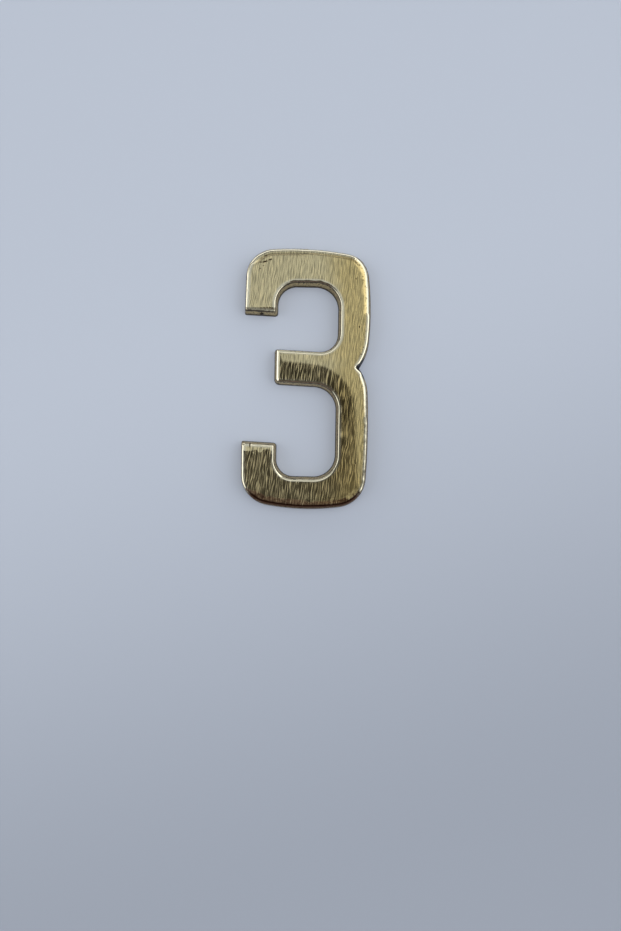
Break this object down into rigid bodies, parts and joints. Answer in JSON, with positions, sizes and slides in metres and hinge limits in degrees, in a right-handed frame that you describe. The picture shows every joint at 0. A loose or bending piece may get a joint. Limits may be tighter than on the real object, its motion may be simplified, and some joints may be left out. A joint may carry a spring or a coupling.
{
  "type": "door number",
  "caption": "Cast brass door number, a flat-backed figure 3 with drafted walls, a rounded rim and a brushed face.",
  "frame": {"origin": "middle of the figure's overall width and height, on its flat back", "axes": "+Z out of the face, +Y up the figure, +X to the right when it is read"},
  "size_m": [0.0244, 0.05, 0.0026],
  "materials": {
    "brass": "cast brass, face brushed nearly along the figure, rim polished, walls left rough from the mould"
  },
  "bodies": {
    "root": {"numeral_3": "brass"}
  },
  "joints": []
}
